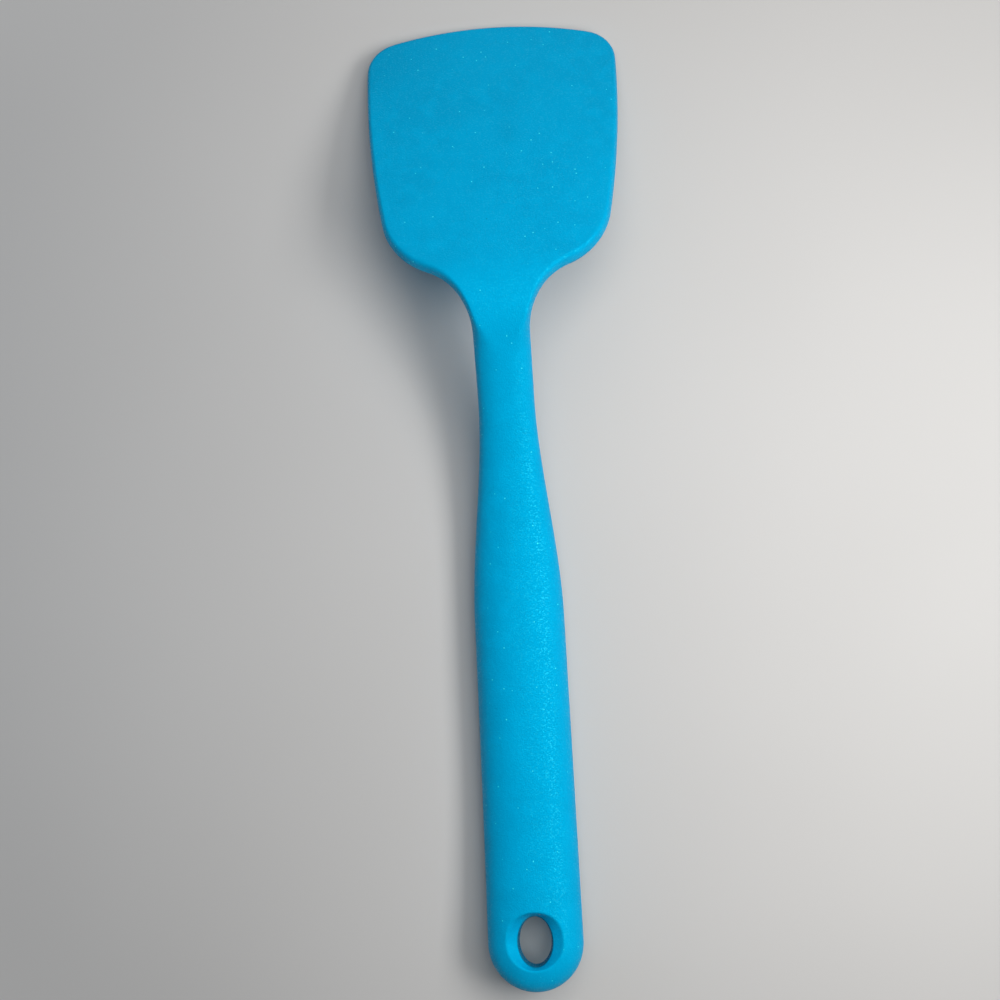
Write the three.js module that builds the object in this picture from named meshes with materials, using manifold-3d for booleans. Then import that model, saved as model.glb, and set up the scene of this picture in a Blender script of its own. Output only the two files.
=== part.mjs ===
// A one-colour silicone turner, lying face down: its blade tip and the belly of its handle touch z = 0.
// Millimetres, +Z up, +Y from the hang end to the blade tip, origin at the middle of the footprint.
import * as THREE from "three";
import { mergeVertices } from "three/addons/utils/BufferGeometryUtils.js";
import Module from "manifold-3d";

const wasm = await Module();
wasm.setup();

const { lerp, degToRad } = THREE.MathUtils;

// Side profile: the spine runs through the middle of the thickness, from the hang end to the tip
const hangEndTurnUp = degToRad(9);
const hangEndArc = 74.4;
const gripFlat = 33;
const neckBendRadius = 180;
const neckAngle = degToRad(24.5);
const neckStraight = 13.5;
const heelBendRadius = 22;
const bladeStraight = 85;

// Thickness along the spine
const hangEndThickness = 13.6;
const gripThickness = 14.4;
const neckThickness = 7.6;
const heelThickness = 5.4;
const tipThickness = 2;

// Outline, developed flat along the spine
const hangEndRadius = 13.9;
const gripWidth = 26.6;
const neckWidth = 16.3;
const neckNarrowBeforeBendEnd = 10;
const filletBeforeHeel = 3.5;
const filletRadius = 21;
const shoulderRadius = 21;
const bladeWidth = 75.9;
const sideRadius = 300;
const widestFromTip = 17.5;
const cornerRadius = 10.8;
const tipRadius = 111;

// Rounded edge of the section, measured square to the outline; the handle is crowned nearly all across
const crownShare = 0.97;
const crownFadesBeforeFillet = 8;
const crownFadesPastFillet = 6;
const heelEdge = 1.6;
const tipEdge = 1;

// Hang hole: an oval throat, narrowest at the parting surface, in a flared dish on each face
const holeFromEnd = 14.5;
const throatWidth = 9.2;
const throatLength = 13.2;
const throatDraft = degToRad(8.5);
const throatHeight = 7.4;
const dishWidth = 16.6;
const dishLength = 17;

// Spring steel sheet in the blade, and its tang
const plateThickness = 0.8;
const plateSideInset = 7;
const plateTipInset = 10;
const plateCornerRadius = 5;
const tangWidth = 8;
const tangInCore = 52;
const tangHoleDiameter = 3.6;
const tangHoleInset = 12;
const bondHoleDiameter = 5;
const bondHolePitch = 14;
const bondHoleInset = 9;

// Nylon bar in the neck and handle
const handleWall = 2;
const coreFromDish = 5;
const coreBeforeHeel = 2;
const windowLength = 13;
const windowWidth = 6;
const windowPitch = 21;
const windowInset = 14;

// Clearances where one piece is moulded round another, and between the two shots of silicone
const bondGap = 0.2;
const seamGap = 0.1;

// How finely the surfaces are faceted
const longStep = 9;
const arcSteps = 8;
const flatSteps = 2;
const edgeSteps = 6;
const ovalSteps = 32;
const holeSteps = 6;
const mergeReach = 1e-4;
const closestSections = 0.05;
const slopeStep = 0.01;
const pastSkin = 4;

const half = (size) => size / 2;
const ease = (share) => share * share * (3 - 2 * share);
const between = (value, low, high) => Math.min(1, Math.max(0, (value - low) / (high - low)));

// Stations along the spine where one stretch gives way to the next
const gripStart = hangEndArc;
const neckBendStart = gripStart + gripFlat;
const neckBendEnd = neckBendStart + neckBendRadius * neckAngle;
const heelBendStart = neckBendEnd + neckStraight;

// The blade slopes down from the heel until its round tip edge lies on the plane that the handle lies on
const tipEdgeRadius = half(tipThickness);
const neckRise = neckBendRadius * (1 - Math.cos(neckAngle)) + neckStraight * Math.sin(neckAngle);
const heelDrop = half(gripThickness) + neckRise - heelBendRadius * Math.cos(neckAngle) - tipEdgeRadius;
const bladeReach = bladeStraight - tipEdgeRadius;
const bladeSlope =
  Math.asin(heelDrop / Math.hypot(bladeReach, heelBendRadius)) + Math.atan2(heelBendRadius, bladeReach);
const heelBendEnd = heelBendStart + heelBendRadius * (neckAngle + bladeSlope);
const tip = heelBendEnd + bladeStraight;

// Each stretch of the spine turns steadily from one angle to the next; zero is level
const stretches = [
  { length: hangEndArc, from: -hangEndTurnUp, to: 0 },
  { length: gripFlat, from: 0, to: 0 },
  { length: neckBendEnd - neckBendStart, from: 0, to: neckAngle },
  { length: neckStraight, from: neckAngle, to: neckAngle },
  { length: heelBendEnd - heelBendStart, from: neckAngle, to: -bladeSlope },
  { length: bladeStraight, from: -bladeSlope, to: -bladeSlope },
];

// How far the first part of a stretch carries the spine along Y and Z
function travel(stretch, run) {
  const bend = (stretch.to - stretch.from) / stretch.length;
  const angle = stretch.from + bend * run;
  if (bend === 0) {
    return { y: run * Math.cos(angle), z: run * Math.sin(angle), angle };
  }
  return {
    y: (Math.sin(angle) - Math.sin(stretch.from)) / bend,
    z: (Math.cos(stretch.from) - Math.cos(angle)) / bend,
    angle,
  };
}

// Place and angle of the spine at a station; before the hang end and past the tip it runs straight on
function spineAt(station) {
  const hangEndBend = hangEndTurnUp / hangEndArc;
  let y = 0;
  let z = half(gripThickness) + (1 - Math.cos(hangEndTurnUp)) / hangEndBend;
  if (station < 0) {
    y = station * Math.cos(hangEndTurnUp);
    z -= station * Math.sin(hangEndTurnUp);
    return { y, z, angle: -hangEndTurnUp };
  }
  let left = station;
  for (const stretch of stretches) {
    const run = stretch === stretches.at(-1) ? left : Math.min(left, stretch.length);
    const step = travel(stretch, run);
    y += step.y;
    z += step.z;
    left -= run;
    if (left <= 0) {
      return { y, z, angle: step.angle };
    }
  }
}

// A point beside and above the spine, in the tool's frame
function onSpine(across, station, above) {
  const place = spineAt(station);
  const y = place.y - above * Math.sin(place.angle);
  const z = place.z + above * Math.cos(place.angle);
  return new THREE.Vector3(across, y, z);
}

// Carries a shape made round its own origin to a station, with its Z along the spine's normal
function frameAt(station) {
  const place = spineAt(station);
  return new THREE.Matrix4().makeRotationX(place.angle).setPosition(0, place.y, place.z);
}

// Centre of a circle at given distances from two other centres, on the wider side of the line between them
function tangentCentre(first, firstReach, second, secondReach) {
  const apart = second.clone().sub(first);
  const span = apart.length();
  const along = (firstReach ** 2 - secondReach ** 2 + span ** 2) / (2 * span);
  const off = Math.sqrt(firstReach ** 2 - along ** 2);
  const unit = apart.divideScalar(span);
  const beside = new THREE.Vector2(Math.abs(unit.y), -unit.x * Math.sign(unit.y));
  return first.clone().addScaledVector(unit, along).addScaledVector(beside, off);
}

// Half the outline is a row of tangent arcs: x is half the width, y the station
const neckStart = neckBendEnd - neckNarrowBeforeBendEnd;
const filletStart = heelBendStart - filletBeforeHeel;
const filletCentre = new THREE.Vector2(half(neckWidth) + filletRadius, filletStart);
const sideCentre = new THREE.Vector2(half(bladeWidth) - sideRadius, tip - widestFromTip);
const tipCentre = new THREE.Vector2(0, tip - tipRadius);
const shoulderCentre = tangentCentre(
  filletCentre,
  filletRadius + shoulderRadius,
  sideCentre,
  sideRadius - shoulderRadius,
);
const cornerCentre = tangentCentre(
  sideCentre,
  sideRadius - cornerRadius,
  tipCentre,
  tipRadius - cornerRadius,
);

const touch = (from, to, reach) => to.clone().sub(from).setLength(reach).add(from);
const filletEnd = touch(filletCentre, shoulderCentre, filletRadius).y;
const shoulderEnd = touch(sideCentre, shoulderCentre, sideRadius).y;
const cornerStart = touch(sideCentre, cornerCentre, sideRadius).y;
const tipEnd = touch(tipCentre, cornerCentre, tipRadius);

const arcDepth = (centre, radius, station) => Math.sqrt(Math.max(0, radius ** 2 - (station - centre.y) ** 2));

function halfWidth(station) {
  if (station < hangEndRadius) {
    return arcDepth({ y: hangEndRadius }, hangEndRadius, station);
  }
  if (station < neckBendStart) {
    return lerp(hangEndRadius, half(gripWidth), between(station, hangEndRadius, neckBendStart));
  }
  if (station < filletStart) {
    return lerp(half(gripWidth), half(neckWidth), ease(between(station, neckBendStart, neckStart)));
  }
  if (station < filletEnd) {
    return filletCentre.x - arcDepth(filletCentre, filletRadius, station);
  }
  if (station < shoulderEnd) {
    return shoulderCentre.x + arcDepth(shoulderCentre, shoulderRadius, station);
  }
  if (station < cornerStart) {
    return sideCentre.x + arcDepth(sideCentre, sideRadius, station);
  }
  return cornerCentre.x + arcDepth(cornerCentre, cornerRadius, station);
}

// Half the thickness eases from one named place to the next; the blade thins evenly, between flat faces
const gripMiddle = gripStart + half(gripFlat);

function halfThickness(station) {
  if (station < gripMiddle) {
    return half(lerp(hangEndThickness, gripThickness, ease(between(station, hangEndRadius, gripMiddle))));
  }
  if (station < filletStart) {
    return half(lerp(gripThickness, neckThickness, ease(between(station, gripMiddle, neckStart))));
  }
  if (station < heelBendEnd) {
    return half(lerp(neckThickness, heelThickness, ease(between(station, filletStart, heelBendEnd))));
  }
  return half(lerp(heelThickness, tipThickness, between(station, heelBendEnd, tip)));
}

// How far the rounded edge of a section reaches in from the outline, wider where the outline runs across
const crownFadeStart = filletStart - crownFadesBeforeFillet;
const crownFadeEnd = filletStart + crownFadesPastFillet;

function edgeWidth(station) {
  const crowned = crownShare * halfWidth(station);
  if (station < crownFadeStart) {
    return crowned;
  }
  const slope = (halfWidth(station + slopeStep) - halfWidth(station - slopeStep)) / (2 * slopeStep);
  const neckEdge = crownShare * half(neckWidth);
  const square =
    station < shoulderEnd
      ? lerp(neckEdge, heelEdge, ease(between(station, crownFadeStart, crownFadeEnd)))
      : lerp(heelEdge, tipEdge, between(station, shoulderEnd, tip));
  return Math.min(crowned, square * Math.hypot(1, slope));
}

// The sections of the blade bow with the tip arc, more and more towards the tip
const tipFall = (across) => tipRadius - arcDepth({ y: 0 }, tipRadius, across);
const bowedStation = (across, station) =>
  station - ease(between(station, shoulderEnd, tip)) * tipFall(across);

// Half the width of a bowed section, where it meets the outline
function bowedHalfWidth(station) {
  if (station >= tip) {
    return tipEnd.x;
  }
  let low = 0;
  let high = half(bladeWidth);
  while (high - low > mergeReach) {
    const middle = half(low + high);
    if (halfWidth(bowedStation(middle, station)) > middle) {
      low = middle;
    } else {
      high = middle;
    }
  }
  return low;
}

// Rise of a quarter round that starts at the end of the spine
const roundOff = (distance, reach) => Math.sqrt(Math.max(0, 1 - (1 - Math.min(1, distance / reach)) ** 2));

const steps = (count) => Array.from({ length: count + 1 }, (_, step) => step / count);
const evenly = (from, to, count) => steps(count).map((share) => lerp(from, to, share));
const longRun = (from, to) => evenly(from, to, Math.ceil((to - from) / longStep));
const closingOn = (end, from) =>
  steps(arcSteps).map((share) => end + (from - end) * (1 - Math.cos(half(Math.PI) * share)));

// Stations that stand at even angles round an arc of the outline
function roundArc(centre, radius, from, to) {
  const first = Math.asin((from - centre.y) / radius);
  const last = Math.asin((to - centre.y) / radius);
  return evenly(first, last, arcSteps).map((angle) => centre.y + radius * Math.sin(angle));
}

function inOrder(stations) {
  const sorted = stations.sort((first, second) => first - second);
  return sorted.filter((station, at) => at === 0 || station - sorted[at - 1] > closestSections);
}

const heelStations = [
  ...roundArc(filletCentre, filletRadius, filletStart, filletEnd),
  ...roundArc(shoulderCentre, shoulderRadius, filletEnd, shoulderEnd),
  heelBendEnd,
];
const skinStations = inOrder([
  ...closingOn(0, hangEndRadius),
  ...longRun(hangEndRadius, neckBendStart),
  ...longRun(neckBendStart, neckStart),
  ...longRun(neckStart, filletStart),
  ...heelStations,
  ...longRun(heelBendEnd, cornerStart),
  ...closingOn(tip, cornerStart),
]);

// Loop of one section as [across, share of the half thickness], from the right edge over the top and back
function sectionLoop(width, edge) {
  const flat = steps(flatSteps).slice(0, -1);
  const quarter = flat.map((share) => [(width - edge) * share, 1]);
  for (const share of steps(edgeSteps)) {
    const turn = half(Math.PI) * share;
    quarter.push([width - edge + edge * Math.sin(turn), Math.cos(turn)]);
  }
  const left = quarter.slice(1).map(([across, height]) => [-across, height]);
  const top = [...quarter.reverse(), ...left];
  const underside = top.slice(1, -1).reverse();
  return [...top, ...underside.map(([across, height]) => [across, -height])];
}

// Surface through a row of equal loops; a flat end gets a face, a drawn-in end closes by itself
function loft(loops, flatEnds) {
  const count = loops[0].length;
  const faces = [];
  for (let row = 0; row + 1 < loops.length; row++) {
    const here = row * count;
    const there = here + count;
    for (let column = 0; column < count; column++) {
      const next = (column + 1) % count;
      faces.push(here + column, there + column, there + next);
      faces.push(here + column, there + next, here + next);
    }
  }
  const last = (loops.length - 1) * count;
  for (let column = 1; flatEnds && column + 1 < count; column++) {
    faces.push(0, column, column + 1);
    faces.push(last, last + column + 1, last + column);
  }
  const positions = loops.flat().flatMap((point) => point.toArray());
  const geometry = new THREE.BufferGeometry();
  geometry.setAttribute("position", new THREE.Float32BufferAttribute(positions, 3));
  geometry.setIndex(faces);
  return geometry;
}

// Solids for joining and cutting; triangles that a drawn-in end has closed up are left out
function solidOf(geometry) {
  const bare = geometry.clone();
  bare.deleteAttribute("normal");
  bare.deleteAttribute("uv");
  const merged = mergeVertices(bare, mergeReach);
  const corners = merged.index.array;
  const kept = [];
  for (let at = 0; at < corners.length; at += 3) {
    const triangle = corners.slice(at, at + 3);
    if (new Set(triangle).size === 3) {
      kept.push(...triangle);
    }
  }
  const mesh = new wasm.Mesh({
    numProp: 3,
    vertProperties: merged.attributes.position.array,
    triVerts: new Uint32Array(kept),
  });
  return new wasm.Manifold(mesh);
}

function geometryOf(solid) {
  const mesh = solid.getMesh();
  const geometry = new THREE.BufferGeometry();
  geometry.setAttribute("position", new THREE.BufferAttribute(mesh.vertProperties, 3));
  geometry.setIndex(new THREE.BufferAttribute(mesh.triVerts, 1));
  return geometry;
}

// The whole outer form, before it is hollowed
function skinBody() {
  const loops = skinStations.map((station) => {
    const width = bowedHalfWidth(station);
    const edge = Math.min(edgeWidth(Math.min(station, cornerStart)), crownShare * width);
    const closing = roundOff(station, hangEndRadius) * roundOff(tip - station, tipEdgeRadius);
    return sectionLoop(width, edge).map(([across, height]) => {
      const place = bowedStation(across, station);
      return onSpine(across, place, height * closing * halfThickness(place));
    });
  });
  return solidOf(loft(loops, false));
}

// A strip along the spine between two heights above it
function strip(stations, widthAt, low, high) {
  const loops = stations.map((station) => {
    const width = widthAt(station);
    const right = [onSpine(width, station, low), onSpine(width, station, high)];
    const left = [onSpine(-width, station, high), onSpine(-width, station, low)];
    return [...right, ...left];
  });
  return solidOf(loft(loops, true));
}

// A post along the spine's normal, from a flat shape
function post(shape, across, station, reach) {
  const settings = { depth: 2 * reach, bevelEnabled: false, curveSegments: holeSteps };
  const geometry = new THREE.ExtrudeGeometry(shape, settings);
  geometry.translate(across, 0, -reach);
  return solidOf(geometry.applyMatrix4(frameAt(station)));
}

const disc = (diameter) => new THREE.Shape().absarc(0, 0, half(diameter), 0, 2 * Math.PI);

// An oblong with round ends, its length along the spine
function oblong(length, width) {
  const reach = half(length - width);
  const shape = new THREE.Shape();
  shape.absarc(0, reach, half(width), 0, Math.PI);
  shape.absarc(0, -reach, half(width), Math.PI, 2 * Math.PI);
  return shape.closePath();
}

// As many places as fit between two ends at a pitch, from the first end on
function spaced(from, to, pitch) {
  const count = Math.max(0, Math.floor((to - from) / pitch));
  return Array.from({ length: count + 1 }, (_, at) => from + at * pitch);
}

// Spring steel sheet. With a gap it is the room that the sheet takes in what is moulded round it
const coreFront = heelBendStart - coreBeforeHeel;
const tangEnd = coreFront - tangInCore;
const plateTip = tip - plateTipInset;

function plateBody(gap) {
  const first = tangEnd - gap;
  const last = plateTip + gap;
  const cornerBack = last - plateCornerRadius;
  const widthAt = (station) => {
    const blade = halfWidth(Math.min(station, cornerStart)) - plateSideInset;
    const sheet = station > filletStart ? Math.max(half(tangWidth), blade) : half(tangWidth);
    const corner = plateCornerRadius * (1 - roundOff(last - station, plateCornerRadius));
    return sheet - corner + gap;
  };
  const stations = inOrder([
    ...longRun(first, filletStart),
    ...heelStations,
    ...longRun(heelBendEnd, cornerBack),
    ...closingOn(last, cornerBack),
  ]);
  const reach = half(plateThickness) + gap;
  let body = strip(stations, widthAt, -reach, reach);
  const cut = (diameter, across, station) => {
    body = body.subtract(post(disc(diameter - 2 * gap), across, station, 2 * reach));
  };
  const columnReach = halfWidth(heelBendEnd) - plateSideInset - bondHoleInset;
  const rightColumns = spaced(0, columnReach, bondHolePitch);
  const leftColumns = rightColumns.slice(1).map((across) => -across);
  for (const station of spaced(heelBendEnd + bondHoleInset, plateTip - bondHoleInset, bondHolePitch)) {
    for (const across of [...leftColumns, ...rightColumns]) {
      cut(bondHoleDiameter, across, station);
    }
  }
  for (const station of [tangEnd + tangHoleInset, coreFront - tangHoleInset]) {
    cut(tangHoleDiameter, 0, station);
  }
  return body;
}

// Nylon bar, a wall's depth under the skin. With a gap it is the room that the bar takes in the skin
const coreEnd = holeFromEnd + half(dishLength) + coreFromDish;

function coreBody(gap) {
  const inset = handleWall - gap;
  const stations = inOrder([
    ...longRun(coreEnd - gap, neckBendStart),
    ...longRun(neckBendStart, neckStart),
    ...longRun(neckStart, coreFront + gap),
  ]);
  const loops = stations.map((station) => {
    const width = halfWidth(Math.min(station, filletStart)) - inset;
    const thickness = halfThickness(station) - inset;
    const loop = sectionLoop(width, crownShare * width);
    return loop.map(([across, height]) => onSpine(across, station, height * thickness));
  });
  let body = solidOf(loft(loops, true));
  for (const station of spaced(coreEnd + windowInset, tangEnd - windowInset, windowPitch)) {
    const shape = oblong(windowLength - 2 * gap, windowWidth - 2 * gap);
    body = body.subtract(post(shape, 0, station, gripThickness));
  }
  return body;
}

// Hang hole: the two tapers of the throat, each flaring into a dish that meets the face in a round rim
function hangHole() {
  const reach = 2 * halfThickness(holeFromEnd);
  const lip = half(throatHeight);
  const spread = Math.tan(throatDraft);
  const sideRim = half(dishWidth);
  const sideRimRise = roundOff(hangEndRadius - sideRim, crownShare * hangEndRadius);
  const sideRimHeight = halfThickness(holeFromEnd) * sideRimRise;
  const endRim = half(dishLength);
  const endRimHeight = halfThickness(holeFromEnd + endRim);
  const sideFlare = (sideRim - half(throatWidth) - lip * spread) / (sideRimHeight - lip);
  const endFlare = (endRim - half(throatLength) - lip * spread) / (endRimHeight - lip);
  const oval = (height) => {
    const inThroat = Math.min(Math.abs(height), lip) * spread;
    const inDish = Math.max(0, Math.abs(height) - lip);
    const across = half(throatWidth) + inThroat + inDish * sideFlare;
    const along = half(throatLength) + inThroat + inDish * endFlare;
    const turns = evenly(0, 2 * Math.PI, ovalSteps).slice(0, -1);
    return turns.map((turn) => new THREE.Vector3(across * Math.cos(turn), along * Math.sin(turn), height));
  };
  const cut = solidOf(loft([reach, lip, 0, -lip, -reach].map(oval), true));
  return cut.transform(frameAt(holeFromEnd).elements);
}

// Room on one side of the parting surface, reaching past the skin all round
function sideOfSeam(side) {
  const stations = inOrder([-pastSkin, ...skinStations, tip + pastSkin]);
  const near = half(seamGap);
  const far = half(gripThickness) + pastSkin;
  const heights = side > 0 ? [near, far] : [-far, -near];
  return strip(stations, () => half(bladeWidth) + pastSkin, ...heights);
}

const finishes = {
  silicone: { color: 0x00a4d6, roughness: 0.55, metalness: 0 },
  springSteel: { color: 0xb8babc, roughness: 0.35, metalness: 1 },
  nylon: { color: 0x2b2d30, roughness: 0.6, metalness: 0 },
};

function piece(name, solid, finish) {
  const mesh = new THREE.Mesh(geometryOf(solid), new THREE.MeshStandardMaterial(finish));
  mesh.name = name;
  return mesh;
}

const skin = skinBody().subtract(plateBody(bondGap)).subtract(coreBody(bondGap)).subtract(hangHole());

const stiffener = new THREE.Group();
stiffener.add(piece("blade_plate", plateBody(0), finishes.springSteel));
stiffener.add(piece("handle_core", coreBody(0).subtract(plateBody(bondGap)), finishes.nylon));

const overmould = new THREE.Group();
overmould.add(piece("skin_back", skin.intersect(sideOfSeam(1)), finishes.silicone));
overmould.add(piece("skin_front", skin.intersect(sideOfSeam(-1)), finishes.silicone));

// Sets the tool down with the middle of its footprint at the origin
const turner = new THREE.Group();
turner.add(stiffener, overmould);
const footprint = new THREE.Box3().setFromObject(turner);
const middle = footprint.getCenter(new THREE.Vector3());
turner.position.set(-middle.x, -middle.y, -footprint.min.z);

const part = new THREE.Group();
part.add(turner);

export default part;
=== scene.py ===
import bmesh
import bpy
import math
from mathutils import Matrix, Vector


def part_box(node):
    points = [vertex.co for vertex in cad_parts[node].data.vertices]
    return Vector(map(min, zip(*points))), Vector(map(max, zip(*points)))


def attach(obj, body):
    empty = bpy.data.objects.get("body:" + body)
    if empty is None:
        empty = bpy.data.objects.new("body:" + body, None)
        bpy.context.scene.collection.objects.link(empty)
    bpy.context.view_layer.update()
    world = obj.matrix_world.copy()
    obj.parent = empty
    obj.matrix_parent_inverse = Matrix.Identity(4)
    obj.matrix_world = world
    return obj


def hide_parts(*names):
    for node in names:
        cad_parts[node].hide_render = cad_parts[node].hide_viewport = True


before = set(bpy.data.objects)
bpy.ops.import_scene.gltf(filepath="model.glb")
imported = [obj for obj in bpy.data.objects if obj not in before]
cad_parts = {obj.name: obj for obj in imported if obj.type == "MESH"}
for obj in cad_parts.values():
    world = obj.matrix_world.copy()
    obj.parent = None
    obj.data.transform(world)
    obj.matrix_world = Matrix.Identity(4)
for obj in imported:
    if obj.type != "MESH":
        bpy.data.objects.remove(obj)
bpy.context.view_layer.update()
print("frame:", sorted(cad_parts))

# The turner's form in metres and degrees. Stations run along its bent spine, from the hang end to the tip.
turner = {
    "hangEndTurnUp": 9,
    "hangEndArc": 0.0744,
    "gripFlat": 0.033,
    "neckBendRadius": 0.180,
    "neckAngle": 24.5,
    "neckStraight": 0.0135,
    "heelBendRadius": 0.022,
    "bladeStraight": 0.085,
    "hangEndThickness": 0.0136,
    "gripThickness": 0.0144,
    "neckThickness": 0.0076,
    "heelThickness": 0.0054,
    "tipThickness": 0.002,
    "hangEndRadius": 0.0139,
    "gripWidth": 0.0266,
    "neckWidth": 0.0163,
    "neckNarrowBeforeBendEnd": 0.010,
    "filletBeforeHeel": 0.0035,
    "filletRadius": 0.021,
    "shoulderRadius": 0.021,
    "bladeWidth": 0.0759,
    "sideRadius": 0.300,
    "widestFromTip": 0.0175,
    "cornerRadius": 0.0108,
    "tipRadius": 0.111,
    "crownShare": 0.97,          # share of the handle's half width that is crowned
    "crownFadesBeforeFillet": 0.008,
    "crownFadesPastFillet": 0.006,
    "heelEdge": 0.0016,          # reach of the rounded edge, in from the outline
    "tipEdge": 0.0010,
    "holeFromEnd": 0.0145,
    "throatWidth": 0.0092,
    "throatLength": 0.0132,
    "throatDraft": 8.5,
    "throatHeight": 0.0074,
    "dishWidth": 0.0166,
    "dishLength": 0.0170,
    "rimRound": 0.0005,          # reach of the rounding on each side of the dish's rim
    "rimLoop": 0.0014,           # how far outside the rim the loop round the dish lies
    "lipRound": 0.0003,          # reach of the rounding on each side of the throat's lip
    "flashReach": 0.00008,       # the mould's parting line stands a little proud
    "flashHeight": 0.00012,
    "flashTaper": 0.6,           # share of its height that is left at its crest
    "rowPitch": 0.0024,
    "spareRows": 3,              # more rows on each arc of the outline
    "loopSteps": 40,             # round half the hang hole
    "rimSteps": 6,               # over the rounding of the dish's rim
    "lipSteps": 3,
    "wallShares": (0.35, 0.7),   # where rings lie down the dish and down the throat
    "halvings": 24,              # in the search for the rim's height
    "rowTurn": 45,               # angle round the hole where the straight rows start
    "edgeSteps": 8,
    "edgeShare": 0.45,           # share of the handle's half width that the edge steps cover
    "blendRun": 0.012,           # run in which rows round the dish become straight ones
    "mergeReach": 1e-6,
    "smoothLevels": 1,
}


def lerp(first, last, share):
    return first + (last - first) * share


def ease(share):
    return share * share * (3 - 2 * share)


def between(value, low, high):
    return min(1, max(0, (value - low) / (high - low)))


def roundOff(depth, reach):      # rise of a quarter round, as a share of its height
    return math.sqrt(max(0, 1 - (1 - min(1, depth / reach)) ** 2))


# Stations where one stretch of the spine gives way to the next
turnUp = math.radians(turner["hangEndTurnUp"])
neckTurn = math.radians(turner["neckAngle"])
gripStart = turner["hangEndArc"]
gripMiddle = gripStart + turner["gripFlat"] / 2
neckBendStart = gripStart + turner["gripFlat"]
neckBendEnd = neckBendStart + turner["neckBendRadius"] * neckTurn
heelBendStart = neckBendEnd + turner["neckStraight"]

# The blade slopes down until its round tip edge lies on the plane that the handle lies on
tipEdgeRadius = turner["tipThickness"] / 2
neckRise = turner["neckBendRadius"] * (1 - math.cos(neckTurn)) + turner["neckStraight"] * math.sin(neckTurn)
heelHeight = turner["gripThickness"] / 2 + neckRise
heelDrop = heelHeight - turner["heelBendRadius"] * math.cos(neckTurn) - tipEdgeRadius
bladeReach = turner["bladeStraight"] - tipEdgeRadius
bladeSlope = math.asin(heelDrop / math.hypot(bladeReach, turner["heelBendRadius"]))
bladeSlope += math.atan2(turner["heelBendRadius"], bladeReach)
heelBendEnd = heelBendStart + turner["heelBendRadius"] * (neckTurn + bladeSlope)
tip = heelBendEnd + turner["bladeStraight"]

stretches = [                    # length, and the slope at its start and end; the last runs on past the tip
    (turner["hangEndArc"], -turnUp, 0),
    (turner["gripFlat"], 0, 0),
    (neckBendEnd - neckBendStart, 0, neckTurn),
    (turner["neckStraight"], neckTurn, neckTurn),
    (heelBendEnd - heelBendStart, neckTurn, -bladeSlope),
    (2 * turner["bladeStraight"], -bladeSlope, -bladeSlope),
]
spineStart = Vector((
    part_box("skin_back")[0].y,
    turner["gripThickness"] / 2 + (1 - math.cos(turnUp)) * turner["hangEndArc"] / turnUp,
))


def spineAt(station):            # place of the spine in Y and Z, and its slope
    place = spineStart.copy()
    for length, start, end in stretches:
        run = min(station, length)
        slope = start + (end - start) * run / length
        if start == end:
            place += run * Vector((math.cos(slope), math.sin(slope)))
        else:
            radius = length / (end - start)
            place += radius * Vector((math.sin(slope) - math.sin(start), math.cos(start) - math.cos(slope)))
        station -= run
        if station <= 0:
            return place, slope


def bendOver(straight):          # carries a point of the straight tool onto the bent spine
    place, slope = spineAt(straight.y)
    return Vector((
        straight.x,
        place.x - straight.z * math.sin(slope),
        place.y + straight.z * math.cos(slope),
    ))


def tangentCentre(first, firstReach, second, secondReach):
    apart = second - first
    along = (firstReach ** 2 - secondReach ** 2 + apart.length_squared) / (2 * apart.length)
    off = math.sqrt(firstReach ** 2 - along ** 2)
    unit = apart.normalized()
    beside = Vector((abs(unit.y), -unit.x * math.copysign(1, unit.y)))
    return first + unit * along + beside * off


# Half the outline is a row of tangent arcs: x is half the width, y the station
neckStart = neckBendEnd - turner["neckNarrowBeforeBendEnd"]
filletStart = heelBendStart - turner["filletBeforeHeel"]
crownFadeStart = filletStart - turner["crownFadesBeforeFillet"]
crownFadeEnd = filletStart + turner["crownFadesPastFillet"]
filletCentre = Vector((turner["neckWidth"] / 2 + turner["filletRadius"], filletStart))
sideCentre = Vector((turner["bladeWidth"] / 2 - turner["sideRadius"], tip - turner["widestFromTip"]))
tipCentre = Vector((0, tip - turner["tipRadius"]))
shoulderCentre = tangentCentre(
    filletCentre, turner["filletRadius"] + turner["shoulderRadius"],
    sideCentre, turner["sideRadius"] - turner["shoulderRadius"],
)
cornerCentre = tangentCentre(
    sideCentre, turner["sideRadius"] - turner["cornerRadius"],
    tipCentre, turner["tipRadius"] - turner["cornerRadius"],
)
shoulderEnd = (sideCentre + (shoulderCentre - sideCentre).normalized() * turner["sideRadius"]).y


def halfWidth(station):          # of the handle and the neck
    if station < neckBendStart:
        share = between(station, turner["hangEndRadius"], neckBendStart)
        return lerp(turner["hangEndRadius"], turner["gripWidth"] / 2, share)
    share = ease(between(station, neckBendStart, neckStart))
    return lerp(turner["gripWidth"], turner["neckWidth"], share) / 2


def halfThickness(station):
    if station < gripMiddle:
        share = ease(between(station, turner["hangEndRadius"], gripMiddle))
        return lerp(turner["hangEndThickness"], turner["gripThickness"], share) / 2
    if station < filletStart:
        share = ease(between(station, gripMiddle, neckStart))
        return lerp(turner["gripThickness"], turner["neckThickness"], share) / 2
    if station < heelBendEnd:
        share = ease(between(station, filletStart, heelBendEnd))
        return lerp(turner["neckThickness"], turner["heelThickness"], share) / 2
    return lerp(turner["heelThickness"], turner["tipThickness"], between(station, heelBendEnd, tip)) / 2


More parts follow.
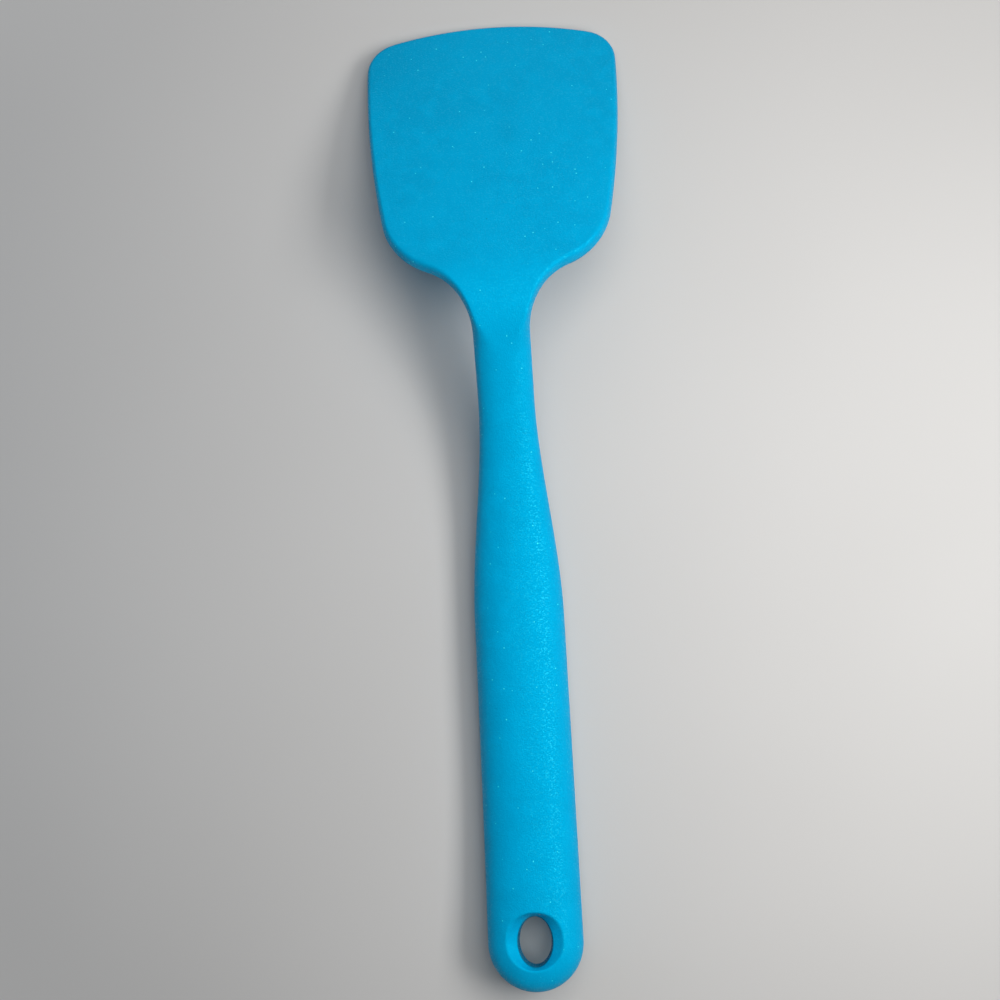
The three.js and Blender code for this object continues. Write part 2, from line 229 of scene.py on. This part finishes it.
def edgeReach(station):          # of the rounded edge, square to the outline
    if station < crownFadeStart:
        return turner["crownShare"] * halfWidth(station)
    if station < shoulderEnd:
        neckEdge = turner["crownShare"] * turner["neckWidth"] / 2
        return lerp(neckEdge, turner["heelEdge"], ease(between(station, crownFadeStart, crownFadeEnd)))
    return lerp(turner["heelEdge"], turner["tipEdge"], between(station, shoulderEnd, tip))


holeCentre = Vector((0, turner["holeFromEnd"]))
endCentre = Vector((0, turner["hangEndRadius"]))


def nearestEdge(point):          # a point on the outline up to the shoulder, and the way in from it
    if point.y < endCentre.y:
        out = (point - endCentre).normalized()
        return endCentre + out * turner["hangEndRadius"], -out
    if point.y < filletStart:
        return Vector((halfWidth(point.y), point.y)), Vector((-1, 0))
    inward = (point - filletCentre).normalized()
    return filletCentre + inward * turner["filletRadius"], inward


def bodyHeight(point):           # above the parting surface
    edge, inward = nearestEdge(point)
    depth = (point - edge).dot(inward)
    return halfThickness(point.y) * roundOff(depth, edgeReach(edge.y))


# The hang hole: an oval throat that flares into a dish above its lip
lipHeight = turner["throatHeight"] / 2
throatSpread = math.tan(math.radians(turner["throatDraft"]))
sideRim = Vector((turner["dishWidth"] / 2, turner["holeFromEnd"]))
endRim = Vector((0, turner["holeFromEnd"] + turner["dishLength"] / 2))
lipAcross = turner["throatWidth"] / 2 + lipHeight * throatSpread
lipAlong = turner["throatLength"] / 2 + lipHeight * throatSpread
sideFlare = (turner["dishWidth"] / 2 - lipAcross) / (bodyHeight(sideRim) - lipHeight)
endFlare = (turner["dishLength"] / 2 - lipAlong) / (bodyHeight(endRim) - lipHeight)


def ovalReach(way, height):      # from the hole's centre to its wall
    above = max(0, height - lipHeight)
    below = min(0, height - lipHeight)
    across = lipAcross + above * sideFlare + below * throatSpread
    along = lipAlong + above * endFlare + below * throatSpread
    return 1 / math.hypot(way.x / across, way.y / along)


def rimHeight(way):              # where the dish meets the handle's surface
    low = lipHeight
    high = turner["hangEndThickness"]
    for halving in range(turner["halvings"]):
        middle = (low + high) / 2
        inDish = middle < bodyHeight(holeCentre + way * ovalReach(way, middle))
        low, high = (middle, high) if inDish else (low, middle)
    return low


def roundedCorner(first, corner, last, count):       # points on a curve that cuts a corner
    shares = [step / count for step in range(count + 1)]
    return [first.lerp(corner, share).lerp(corner.lerp(last, share), share) for share in shares]


def holePath(way):               # reaches and heights from outside the rim down to the parting surface
    top = rimHeight(way)
    rim = Vector((ovalReach(way, top), top))
    lip = Vector((ovalReach(way, lipHeight), lipHeight))
    throat = Vector((ovalReach(way, 0), 0))
    outside = rim.x + turner["rimRound"]
    body = Vector((outside, bodyHeight(holeCentre + way * outside)))
    wall = (rim - lip).length
    inDish = rim.lerp(lip, turner["rimRound"] / wall)
    aboveLip = lip.lerp(rim, turner["lipRound"] / wall)
    belowLip = lip.lerp(throat, turner["lipRound"] / (lip - throat).length)
    path = roundedCorner(body, rim, inDish, turner["rimSteps"])
    path += [inDish.lerp(aboveLip, share) for share in turner["wallShares"]]
    path += roundedCorner(aboveLip, lip, belowLip, turner["lipSteps"])
    path += [belowLip.lerp(throat, share) for share in turner["wallShares"]]
    path.append(throat)
    return path


def drawOut(bm, chain):          # extrudes a chain of vertices and gives the new chain in the same order
    edges = [bm.edges.get(pair) for pair in zip(chain, chain[1:])]
    made = bmesh.ops.extrude_edge_only(bm, edges=edges)["geom"]
    fresh = {part for part in made if isinstance(part, bmesh.types.BMVert)}
    beside = [[edge.other_vert(vert) for edge in vert.link_edges] for vert in chain]
    return [next(other for other in others if other in fresh) for others in beside]


def settleOrder(bm):             # extruding leaves edges and faces in an order that changes from run to run
    bm.verts.index_update()
    for parts in (bm.edges, bm.faces):
        inOrder = sorted(parts, key=lambda part: sorted(vert.index for vert in part.verts))
        for index, part in enumerate(inOrder):
            part.index = index
        parts.sort()


def put(vert, point, height):
    vert.co = (point.x, point.y, height)


def edgePath(edge, inward, reach, depth):
    # points and heights from a place at this depth, over the rounded edge, to the proud parting line
    places = []
    firstTurn = math.asin(max(0, 1 - depth / reach))
    lastTurn = math.acos(turner["flashHeight"] / halfThickness(edge.y))
    for step in range(turner["edgeSteps"] + 1):
        turn = lerp(firstTurn, lastTurn, step / turner["edgeSteps"])
        point = edge + inward * reach * (1 - math.sin(turn))
        places.append((point, halfThickness(point.y) * math.cos(turn)))
    places.append((edge - inward * turner["flashReach"], turner["flashHeight"] * turner["flashTaper"]))
    places.append((edge - inward * turner["flashReach"], 0))
    return places


def arcRows(centre, radius, first, last, side):
    count = math.ceil(radius * abs(last - first) / turner["rowPitch"]) + turner["spareRows"]
    rows = []
    for step in range(1, count + 1):
        angle = lerp(first, last, step / count)
        out = Vector((math.cos(angle), math.sin(angle)))
        rows.append((centre + out * radius, out * side))
    return rows


def angleOf(way):
    return math.atan2(way.y, way.x)


def makeSkin():
    bm = bmesh.new()
    seed = bm.verts.new((0, holeCentre.y - turner["dishLength"] / 2, 0))
    bmesh.ops.spin(
        bm, geom=[seed], cent=(0, holeCentre.y, 0), axis=(0, 0, 1), angle=math.pi, steps=turner["loopSteps"]
    )
    loop = list(bm.verts)
    ways = [(vert.co.xy - holeCentre).normalized() for vert in loop]
    for vert, way in zip(loop, ways):
        point = holeCentre + way * (ovalReach(way, rimHeight(way)) + turner["rimLoop"])
        put(vert, point, bodyHeight(point))

    # round the hang end: from the loop out over the edge
    corner = turner["loopSteps"] // 2 + turner["loopSteps"] * turner["rowTurn"] // 180
    paths = []
    for vert in loop[:corner + 1]:
        edge, inward = nearestEdge(vert.co.xy)
        paths.append(edgePath(edge, inward, edgeReach(edge.y), (vert.co.xy - edge).dot(inward)))
    ring = loop[:corner + 1]
    sideChain = [ring[-1]]
    for step in range(1, len(paths[0])):
        ring = drawOut(bm, ring)
        for vert, path in zip(ring, paths):
            put(vert, *path[step])
        sideChain.insert(0, ring[-1])

    # along the tool: rows across half of it, from the outline to the middle
    row = sideChain + loop[corner + 1:]
    across = len(loop) - 1 - corner
    bowed = [vert.co.xy for vert in loop[corner:]]
    firstRow = bowed[0].y
    firstDepth = halfWidth(firstRow) - bowed[0].x
    handleRun = math.ceil((filletStart - firstRow) / turner["rowPitch"])
    stations = [lerp(firstRow, filletStart, step / handleRun) for step in range(1, handleRun + 1)]
    rows = [(Vector((halfWidth(station), station)), Vector((-1, 0))) for station in stations]
    toShoulder = angleOf(shoulderCentre - filletCentre)
    toSide = angleOf(shoulderCentre - sideCentre)
    toCorner = angleOf(cornerCentre - sideCentre)
    toTip = angleOf(cornerCentre - tipCentre)
    rows += arcRows(filletCentre, turner["filletRadius"], math.pi, toShoulder, 1)
    rows += arcRows(shoulderCentre, turner["shoulderRadius"], toShoulder - math.pi, toSide, -1)
    rows += arcRows(sideCentre, turner["sideRadius"], toSide, toCorner, -1)
    rows += arcRows(cornerCentre, turner["cornerRadius"], toCorner, toTip, -1)
    rows += arcRows(tipCentre, turner["tipRadius"], toTip, math.pi / 2, -1)
    for edge, inward in rows:
        straight = ease(between(edge.y, firstRow, firstRow + turner["blendRun"]))
        reach = edgeReach(edge.y)
        stepped = turner["edgeShare"] * max(edge.x, turner["neckWidth"] / 2)
        depth = min(reach, lerp(firstDepth, stepped, straight))
        path = edgePath(edge, inward, reach, depth)
        flat = path[0][0]
        places = path[::-1]
        for step in range(1, across + 1):
            level = Vector((flat.x * (1 - step / across), flat.y))
            roundHole = bowed[step] + Vector((0, edge.y - firstRow))
            point = roundHole.lerp(level, straight)
            height = bodyHeight(point) if edge.y < crownFadeEnd else halfThickness(point.y)
            places.append((point, height))
        row = drawOut(bm, row)
        for vert, place in zip(row, places):
            put(vert, *place)

    # into the hang hole
    ring = loop
    for places in zip(*[holePath(way) for way in ways]):
        ring = drawOut(bm, ring)
        for vert, way, place in zip(ring, ways, places):
            put(vert, holeCentre + way * place.x, place.y)

    mergeReach = turner["mergeReach"]
    bmesh.ops.remove_doubles(bm, verts=bm.verts, dist=mergeReach)
    for axis in ("X", "Z"):
        bmesh.ops.mirror(bm, geom=bm.verts[:] + bm.edges[:] + bm.faces[:], axis=axis, merge_dist=mergeReach)
    bmesh.ops.remove_doubles(bm, verts=bm.verts, dist=mergeReach)
    bmesh.ops.recalc_face_normals(bm, faces=bm.faces)
    for vert in bm.verts:
        vert.co = bendOver(vert.co)
    for face in bm.faces:
        face.smooth = True
    settleOrder(bm)
    mesh = bpy.data.meshes.new("silicone_skin")
    bm.to_mesh(mesh)
    bm.free()
    skin = bpy.data.objects.new("silicone_skin", mesh)
    bpy.context.scene.collection.objects.link(skin)
    smooth = skin.modifiers.new("smooth", "SUBSURF")
    smooth.levels = turner["smoothLevels"]
    smooth.render_levels = turner["smoothLevels"]
    return skin


skin = makeSkin()
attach(skin, "root")
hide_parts("skin_back", "skin_front")
print("skin:", len(skin.data.polygons), "faces before smoothing")

wear = {
    "spotCore": 0.4,             # share of a spot's reach that has its full colour
    "spotStep": 0.02,            # how sharply a cell has a spot or none
    "hairSway": 0.5,             # how far hairlines bend, as a share of their pitch
    "hairBreaks": 0.6,           # size of the breaks in hairlines, as a share of their pitch
    "breakStep": 0.1,
}
noiseMiddle = 0.5                # a noise swings about this value


class Flow:                      # a socket; sums on it add Math nodes
    def __init__(self, finish, socket):
        self.finish = finish
        self.socket = socket

    def maths(self, operation, first, second):
        return self.finish.node("Math", {"operation": operation}, {0: first, 1: second})

    def __add__(self, other):
        return self.maths("ADD", self, other)

    def __sub__(self, other):
        return self.maths("SUBTRACT", self, other)

    def __mul__(self, other):
        return self.maths("MULTIPLY", self, other)

    def __rsub__(self, other):
        return self.maths("SUBTRACT", other, self)

    __radd__ = __add__
    __rmul__ = __mul__


class Finish:                    # the nodes of a material or a world
    def __init__(self, holder):
        holder.use_nodes = True
        self.holder = holder
        self.tree = holder.node_tree
        self.shader = self.tree.nodes.get("Principled BSDF") or self.tree.nodes["Background"]
        self.place = self.node("TexCoord", {}, {}, "Object")

    def node(self, kind, settings, inputs, output=0):
        node = self.tree.nodes.new("ShaderNode" + kind)
        for name, value in settings.items():
            setattr(node, name, value)
        self.feed(node, inputs)
        return Flow(self, node.outputs[output])

    def feed(self, node, inputs):
        for name, value in inputs.items():
            if isinstance(value, Flow):
                self.tree.links.new(value.socket, node.inputs[name])
            else:
                node.inputs[name].default_value = value

    def noise(self, size, detail=2, stretch=(1, 1, 1)):      # size is in metres
        place = self.node("VectorMath", {"operation": "MULTIPLY"}, {0: self.place, 1: stretch})
        return self.node("TexNoise", {}, {"Vector": place, "Scale": 1 / size, "Detail": detail})

    def spots(self, pitch, size, share):                     # round spots in a share of the cells
        cells = {"Vector": self.place, "Scale": 1 / pitch}
        away = self.node("TexVoronoi", {}, cells, "Distance")
        chance = self.node("TexVoronoi", {}, cells, "Color")
        edge = size / pitch
        spot = self.ramp(away, edge, wear["spotCore"] * edge)
        return spot * self.ramp(chance, 1 - share, 1 - share + wear["spotStep"])

    def around(self, middle, reach, turn=0):                 # 0 at a middle, 1 at this reach from it
        oval = {"Vector": self.place, "Location": middle, "Rotation": (turn, 0, 0), "Scale": reach}
        away = self.node("Mapping", {"vector_type": "TEXTURE"}, oval)
        return self.node("VectorMath", {"operation": "LENGTH"}, {0: away}, "Value")

    def scratches(self, pitch, width, share):                # bent hairlines, broken up by this share
        sway = self.node("TexNoise", {}, {"Vector": self.place, "Scale": 1 / pitch}, "Color")
        swayed = {"Vector": sway, "Scale": wear["hairSway"] * pitch}
        sway = self.node("VectorMath", {"operation": "SCALE"}, swayed)
        place = self.node("VectorMath", {"operation": "ADD"}, {0: self.place, 1: sway})
        cells = {"Vector": place, "Scale": 1 / pitch}
        away = self.node("TexVoronoi", {"feature": "DISTANCE_TO_EDGE"}, cells)
        hairlines = self.ramp(away, width / pitch, 0)
        breaks = self.noise(wear["hairBreaks"] * pitch)
        return hairlines * self.ramp(breaks, 1 - share - wear["breakStep"], 1 - share)

    def ramp(self, value, low, high, first=0, last=1):
        ends = {"Value": value, "From Min": low, "From Max": high, "To Min": first, "To Max": last}
        return self.node("MapRange", {"interpolation_type": "SMOOTHSTEP"}, ends)

    def mix(self, share, first, second):                     # of two colours
        return self.node("Mix", {"data_type": "RGBA"}, {0: share, 6: first, 7: second}, 2)

    def seen(self):                                          # 1 where the eye, gloss or glass looks, else 0
        kinds = ("Is Camera Ray", "Is Glossy Ray", "Is Transmission Ray")
        camera, gloss, glass = [self.node("LightPath", {}, {}, kind) for kind in kinds]
        return camera + gloss + glass

    def bump(self, height, depth, under=None):               # depth is in metres
        inputs = {"Height": height, "Distance": depth}
        if under:
            inputs["Normal"] = under
        return self.node("Bump", {}, inputs)


silicone = {
    "colour": (0.0, 0.398, 0.737, 1),
    "paler": (0.0, 0.412, 0.755, 1),
    "deeper": (0.0, 0.372, 0.696, 1),
    "mark": (0.0, 0.29, 0.56, 1),
    # a paler cyan painted into the colour at the glints, as a painted glint
    "paintedGlint": (0.0, 0.60, 0.92, 1),
    "dust": (0.06, 0.92, 1.0, 1),
    "dirt": (0.0, 0.15, 0.29, 1),
    # near-black blue painted into the hang hole's throat as painted shade
    "throatPaintedShade": (0.0, 0.04, 0.10, 1),
    "cloud": {"size": 0.022, "detail": 3},
    "cloudRange": (0.35, 0.65),
    "fine": {"size": 0.005, "detail": 4},
    "fineRange": (0.4, 0.7),
    # a patch at the blade's far left corner is made darker
    "darkerCorner": {"middle": (-0.036, 0.138, 0.004), "reach": (0.030, 0.030, 0.030)},
    "darkerCornerShare": 0.45,
    "thumbMark": {"middle": (0.004, 0.108, 0.017), "reach": (0.006, 0.008, 0.008)},
    "thumbShare": 0.7,
    "scratches": {"pitch": 0.014, "width": 0.00016, "share": 0.45},
    "scratchShare": 0.25,
    "glintsAndPaintedSparkle": {"size": 0.0005, "detail": 0},
    "glintRange": (0.55, 0.70),
    # how much of the painted glint colour goes into the glints
    "paintedGlintShare": 0.1,
    "glintPolish": 0.35,         # how much smoother a glint is
    "glintCoat": 0.06,
    "coatRoughness": 0.35,
    "dirtSpots": {"pitch": 0.009, "size": 0.00030, "share": 0.6},
    "dirtShare": 0.5,
    "dustSpots": {"pitch": 0.003, "size": 0.00026, "share": 0.8},
    "throatShadeRange": (1.05, 0.97),  # shares of the lip's reach between which the throat is painted dark, as painted shade
    "throatShadeShare": 0.75,
    "roughness": 0.65,
    "fineRoughness": 0.1,
    "specular": 0.65,
    "specularTint": (0.0, 1.0, 1.0, 1),
    "grain": {"size": 0.00045, "detail": 2},
    "grainDepth": 0.0001,
    "unevenness": {"size": 0.006, "detail": 2},
    "unevenDepth": 0.00004,
}


def siliconeFinish():
    finish = Finish(bpy.data.materials.new("matt_blue_silicone"))
    cloud = finish.ramp(finish.noise(**silicone["cloud"]), *silicone["cloudRange"])
    fine = finish.noise(**silicone["fine"])
    colour = finish.mix(cloud, silicone["deeper"], silicone["colour"])
    colour = finish.mix(finish.ramp(fine, *silicone["fineRange"]), colour, silicone["paler"])

    # the blade's far left corner made darker, a thumb mark, and hairlines from use
    darker = finish.ramp(finish.around(**silicone["darkerCorner"]), 1, 0)
    thumb = finish.ramp(finish.around(**silicone["thumbMark"]), 1, 0)
    darkPatches = silicone["darkerCornerShare"] * darker + silicone["thumbShare"] * fine * thumb
    colour = finish.mix(darkPatches, colour, silicone["mark"])
    scratches = finish.scratches(**silicone["scratches"])
    colour = finish.mix(silicone["scratchShare"] * scratches, colour, silicone["mark"])

    # glints of the moulded grain, smoother and lightly coated, with a paler cyan painted into the colour
    # there as a painted glint; dirt and dust
    glintsAndPaintedSparkle = finish.ramp(finish.noise(**silicone["glintsAndPaintedSparkle"]), *silicone["glintRange"])
    colour = finish.mix(silicone["paintedGlintShare"] * glintsAndPaintedSparkle, colour, silicone["paintedGlint"])
    dirt = finish.spots(**silicone["dirtSpots"])
    colour = finish.mix(silicone["dirtShare"] * dirt, colour, silicone["dirt"])
    dust = finish.spots(**silicone["dustSpots"])
    colour = finish.mix(dust, colour, silicone["dust"])

    # painted shade: the hang hole's throat is painted near-black below its lip, standing in for the shade
    # inside the hole
    middle, slope = spineAt(turner["holeFromEnd"])
    throat = finish.around((0, *middle), (lipAcross, lipAlong, 1), slope)
    throatPaintedShade = finish.ramp(throat, *silicone["throatShadeRange"], 0, silicone["throatShadeShare"])
    colour = finish.mix(throatPaintedShade, colour, silicone["throatPaintedShade"])

    polish = silicone["fineRoughness"] * (fine - noiseMiddle) - silicone["glintPolish"] * glintsAndPaintedSparkle
    waves = finish.bump(finish.noise(**silicone["unevenness"]), silicone["unevenDepth"])
    finish.feed(finish.shader, {
        "Base Color": colour,
        "Roughness": silicone["roughness"] + polish,
        "Normal": finish.bump(finish.noise(**silicone["grain"]), silicone["grainDepth"], waves),
        "Coat Weight": silicone["glintCoat"] * glintsAndPaintedSparkle,
        "Coat Roughness": silicone["coatRoughness"],
        "Specular IOR Level": silicone["specular"],
        "Specular Tint": silicone["specularTint"],
    })
    return finish.holder


skin.data.materials.append(siliconeFinish())
print("silicone finished")

steelSheet = {
    "colour": (0.50, 0.51, 0.52, 1),
    "darker": (0.38, 0.39, 0.40, 1),
    "roughness": 0.36,
    "rollMarks": {"size": 0.0004, "detail": 3, "stretch": (1, 0.02, 1)},
    "rollRoughness": 0.16,
    "rollDepth": 0.000004,
    "stain": {"size": 0.012, "detail": 4},
    "stainRange": (0.4, 0.7),
    "stainRoughness": 0.1,
}


def steelFinish():
    finish = Finish(bpy.data.materials.new("cold_rolled_spring_steel"))
    darkPatches = finish.noise(**steelSheet["rollMarks"])
    stain = finish.noise(**steelSheet["stain"])
    stained = finish.ramp(stain, *steelSheet["stainRange"])
    rolled = steelSheet["rollRoughness"] * (darkPatches - noiseMiddle)
    matted = steelSheet["stainRoughness"] * (stain - noiseMiddle)
    finish.feed(finish.shader, {
        "Base Color": finish.mix(stained, steelSheet["colour"], steelSheet["darker"]),
        "Roughness": steelSheet["roughness"] + rolled + matted,
        "Normal": finish.bump(darkPatches, steelSheet["rollDepth"]),
        "Metallic": 1,
    })
    return finish.holder


nylonBar = {
    "colour": (0.025, 0.027, 0.030, 1),
    "fibre": (0.07, 0.072, 0.075, 1),
    "roughness": 0.55,
    "fibres": {"size": 0.0005, "detail": 3, "stretch": (1, 0.25, 1)},
    "fibreRange": (0.52, 0.75),
    "fibreDepth": 0.00002,
    "flow": {"size": 0.003, "detail": 3, "stretch": (1, 0.3, 1)},
    "flowRoughness": 0.2,
}


def nylonFinish():
    finish = Finish(bpy.data.materials.new("glass_filled_nylon"))
    fibres = finish.noise(**nylonBar["fibres"])
    flow = finish.noise(**nylonBar["flow"])
    shown = finish.ramp(fibres, *nylonBar["fibreRange"])
    finish.feed(finish.shader, {
        "Base Color": finish.mix(shown, nylonBar["colour"], nylonBar["fibre"]),
        "Roughness": nylonBar["roughness"] + nylonBar["flowRoughness"] * (flow - noiseMiddle),
        "Normal": finish.bump(fibres, nylonBar["fibreDepth"]),
    })
    return finish.holder


def dress(node, material):
    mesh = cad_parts[node].data
    mesh.materials.clear()
    mesh.materials.append(material)


dress("blade_plate", steelFinish())
dress("handle_core", nylonFinish())
print("inner pieces finished")

backdrop = (0.60, 0.595, 0.585, 1)

tableTop = {
    "size": 6.0,
    "colour": (0.67, 0.655, 0.635, 1),
    "cloudy": (0.65, 0.635, 0.615, 1),
    "roughness": 0.85,
    "specular": 0.1,
    "cloud": {"size": 0.15, "detail": 2},
    "cloudRange": (0.3, 0.7),
    "fadeRange": (0.18, 0.42),   # where the table gives way to the backdrop, from the tool's middle
}


def makeTable():
    bm = bmesh.new()
    bmesh.ops.create_grid(bm, x_segments=1, y_segments=1, size=tableTop["size"] / 2)
    mesh = bpy.data.meshes.new("table")
    bm.to_mesh(mesh)
    bm.free()
    table = bpy.data.objects.new("table", mesh)
    bpy.context.scene.collection.objects.link(table)
    finish = Finish(bpy.data.materials.new("pale_table"))
    cloud = finish.ramp(finish.noise(**tableTop["cloud"]), *tableTop["cloudRange"])
    finish.feed(finish.shader, {
        "Base Color": finish.mix(cloud, tableTop["colour"], tableTop["cloudy"]),
        "Roughness": tableTop["roughness"],
        "Specular IOR Level": tableTop["specular"],
    })
    away = finish.node("VectorMath", {"operation": "LENGTH"}, {0: finish.place}, "Value")
    fade = finish.ramp(away, *tableTop["fadeRange"])
    glow = finish.node("Emission", {}, {"Color": backdrop, "Strength": finish.seen()})
    near = Flow(finish, finish.shader.outputs[0])
    whole = finish.node("MixShader", {}, {0: fade, 1: near, 2: glow})
    finish.feed(finish.tree.nodes["Material Output"], {"Surface": whole})
    mesh.materials.append(finish.holder)


makeTable()

white = (1, 1, 1)
cool = (0.5, 0.9, 1.4)

# strength 1 shows a colour as written on a face turned to the lamp
lamps = {
    "overhead": {"place": (0.11, 0.07, 0.50), "size": (0.5, 0.5), "strength": 0.575, "colour": white},
    "right": {"place": (0.21, -0.03, 0.25), "size": (0.26, 0.1), "strength": 0.575, "colour": white},
    "beyondTip": {"place": (0.05, 0.50, 0.35), "size": (0.4, 0.4), "strength": 0.09, "colour": white},
    "left": {"place": (-0.35, 0.10, 0.35), "size": (0.4, 0.4), "strength": 0.05, "colour": cool},
}


def makeStudio():
    world = Finish(bpy.data.worlds.new("studio"))
    world.feed(world.shader, {"Color": backdrop, "Strength": world.seen()})
    bpy.context.scene.world = world.holder
    for name, lamp in lamps.items():
        light = bpy.data.lights.new(name, "AREA")
        light.shape = "RECTANGLE"
        light.size, light.size_y = lamp["size"]
        light.energy = lamp["strength"] * math.pi ** 2 * Vector(lamp["place"]).length_squared
        light.color = lamp["colour"]
        holder = bpy.data.objects.new(name, light)
        holder.location = lamp["place"]
        holder.rotation_euler = Vector(lamp["place"]).to_track_quat("Z", "Y").to_euler()
        holder.visible_camera = False
        bpy.context.scene.collection.objects.link(holder)


makeStudio()

camera = {
    "place": (0.018069, -0.024080, 0.4229),
    "turn": (2.9376, 3.1925, -2.9634),
    "lens": 50,
    "sensor": 36,
    "nearest": 0.01,
}


def makeCamera():
    lens = bpy.data.cameras.new("camera")
    lens.lens = camera["lens"]
    lens.sensor_width = camera["sensor"]
    lens.clip_start = camera["nearest"]
    holder = bpy.data.objects.new("camera", lens)
    holder.location = camera["place"]
    holder.rotation_euler = [math.radians(angle) for angle in camera["turn"]]
    bpy.context.scene.collection.objects.link(holder)
    bpy.context.scene.camera = holder


makeCamera()
bpy.context.scene.view_settings.view_transform = "Standard"
print("studio and camera set")
